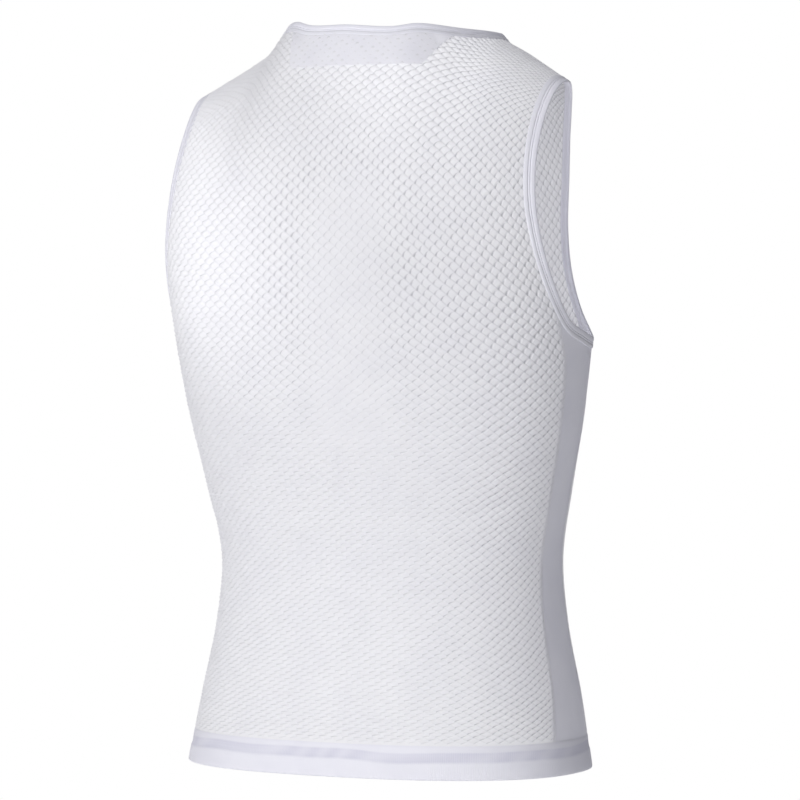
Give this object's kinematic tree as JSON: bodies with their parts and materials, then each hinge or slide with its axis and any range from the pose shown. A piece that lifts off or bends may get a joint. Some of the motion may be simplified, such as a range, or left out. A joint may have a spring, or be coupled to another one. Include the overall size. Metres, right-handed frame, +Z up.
{
  "type": "sleeveless base layer",
  "caption": "Sleeveless close-fitting knitted base layer in its worn form, hollow, with open neck, armholes and hem, taped edges and plain side panels.",
  "frame": {"origin": "midway between the wearer's shoulders, 0.598 m above the hem's lower edge", "axes": "+Z up, -Y towards the wearer's front, +X towards the wearer's left"},
  "size_m": [0.3692, 0.239, 0.6277],
  "materials": {
    "mesh_knit": "matt white open diamond mesh knit",
    "plain_knit": "matt white fine plain knit",
    "edge_tape": "matt white folded elastic tape",
    "welt_knit": "matt white double knitted welt"
  },
  "bodies": {
    "root": {"back_panel": "mesh_knit", "front_panel": "mesh_knit", "side_panel_left": "plain_knit", "side_panel_right": "plain_knit", "back_neck_yoke": "plain_knit", "neck_binding": "edge_tape", "armhole_binding_left": "edge_tape", "armhole_binding_right": "edge_tape", "hem_band": "welt_knit"}
  },
  "joints": []
}
